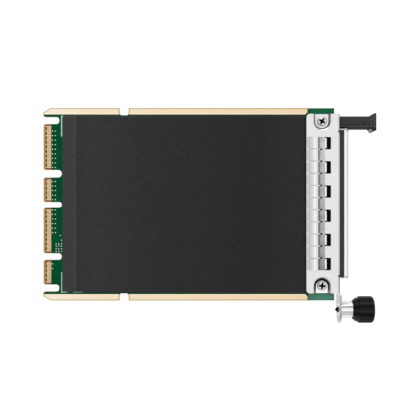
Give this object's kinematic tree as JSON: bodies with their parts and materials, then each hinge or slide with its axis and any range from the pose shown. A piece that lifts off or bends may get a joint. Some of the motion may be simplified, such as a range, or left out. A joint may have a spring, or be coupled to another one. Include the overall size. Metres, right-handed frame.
{
  "type": "ethernet adapter card",
  "caption": "Server network adapter card with a gold card edge, insulating film, folded bracket, pull tab, captive thumbscrew and a gang of module ports.",
  "frame": {"origin": "middle of the board's leading card edge, at half its thickness", "axes": "+X from the card edge to the faceplate, +Y along the card edge, +Z out of the solder side; the card lies component side down"},
  "size_m": [0.1317, 0.0856, 0.0195],
  "materials": {
    "board_laminate": "green solder mask on glass fibre",
    "gold_plate": "gold plated copper",
    "black_film": "satin black polyester film",
    "foam_tape": "black foam tape",
    "plated_steel": "bright plated sheet steel",
    "spring_bronze": "tin plated spring copper",
    "black_moulding": "black glass-filled nylon",
    "bright_steel": "bright nickel plated steel",
    "black_steel": "black oxide steel",
    "cage_metal": "nickel plated copper alloy sheet",
    "gasket_rubber": "black conductive elastomer",
    "clear_acrylic": "clear polycarbonate",
    "lamp_resin": "milky resin",
    "chip_package": "dark package with a metal lid",
    "thermal_putty": "grey silicone pad",
    "extruded_aluminium": "clear anodised extrusion",
    "ferrite": "moulded ferrite powder",
    "capacitor_case": "moulded case",
    "ceramic_chip": "brown ceramic",
    "black_epoxy": "black moulded epoxy",
    "crystal_can": "metal can",
    "black_connector": "black liquid crystal polymer"
  },
  "bodies": {
    "card": {"circuit_board": "board_laminate", "edge_contacts": "gold_plate", "guide_plating_left": "gold_plate", "guide_plating_right": "gold_plate", "insulator_film": "black_film", "film_tape": "foam_tape", "bracket": "plated_steel", "spring_fingers_solder_side": "spring_bronze", "spring_fingers_component_side": "spring_bronze", "bracket_screws": "plated_steel", "bracket_nuts": "plated_steel", "pull_tab": "black_moulding", "thumbscrew_ferrule": "bright_steel", "cage_cover": "cage_metal", "cage_floor": "cage_metal", "cage_gasket": "gasket_rubber", "cage_front_frame": "cage_metal", "light_pipes": "clear_acrylic", "status_leds": "lamp_resin", "controller_chip": "chip_package", "thermal_pad": "thermal_putty", "heatsink": "extruded_aluminium", "heatsink_screws": "plated_steel", "power_inductors": "ferrite", "bulk_capacitors": "capacitor_case", "coupling_capacitors": "ceramic_chip", "voltage_regulators": "black_epoxy", "flash_memory": "black_epoxy", "clock_crystal": "crystal_can", "port_connector_1": "black_connector", "port_connector_2": "black_connector", "port_connector_3": "black_connector", "port_connector_4": "black_connector", "cage_divider_1": "cage_metal", "cage_divider_2": "cage_metal", "cage_divider_3": "cage_metal"},
    "plunger": {"thumbscrew_spring": "bright_steel"},
    "thumbscrew": {"thumbscrew_shank": "black_steel", "thumbscrew_knob": "black_moulding"}
  },
  "joints": [
    {"name": "thumbscrew_press", "type": "slide", "parent": "card", "child": "plunger", "axis": [-1, 0, 0], "range_m": [0, 0.0038], "stiffness_N_per_m": 400, "springref_m": -0.003, "deforming": ["thumbscrew_spring"]},
    {"name": "thumbscrew_turn", "type": "hinge", "parent": "plunger", "child": "thumbscrew", "pos_m": [0.123, -0.0423, -0.00526], "axis": [1, 0, 0], "continuous": true}
  ]
}
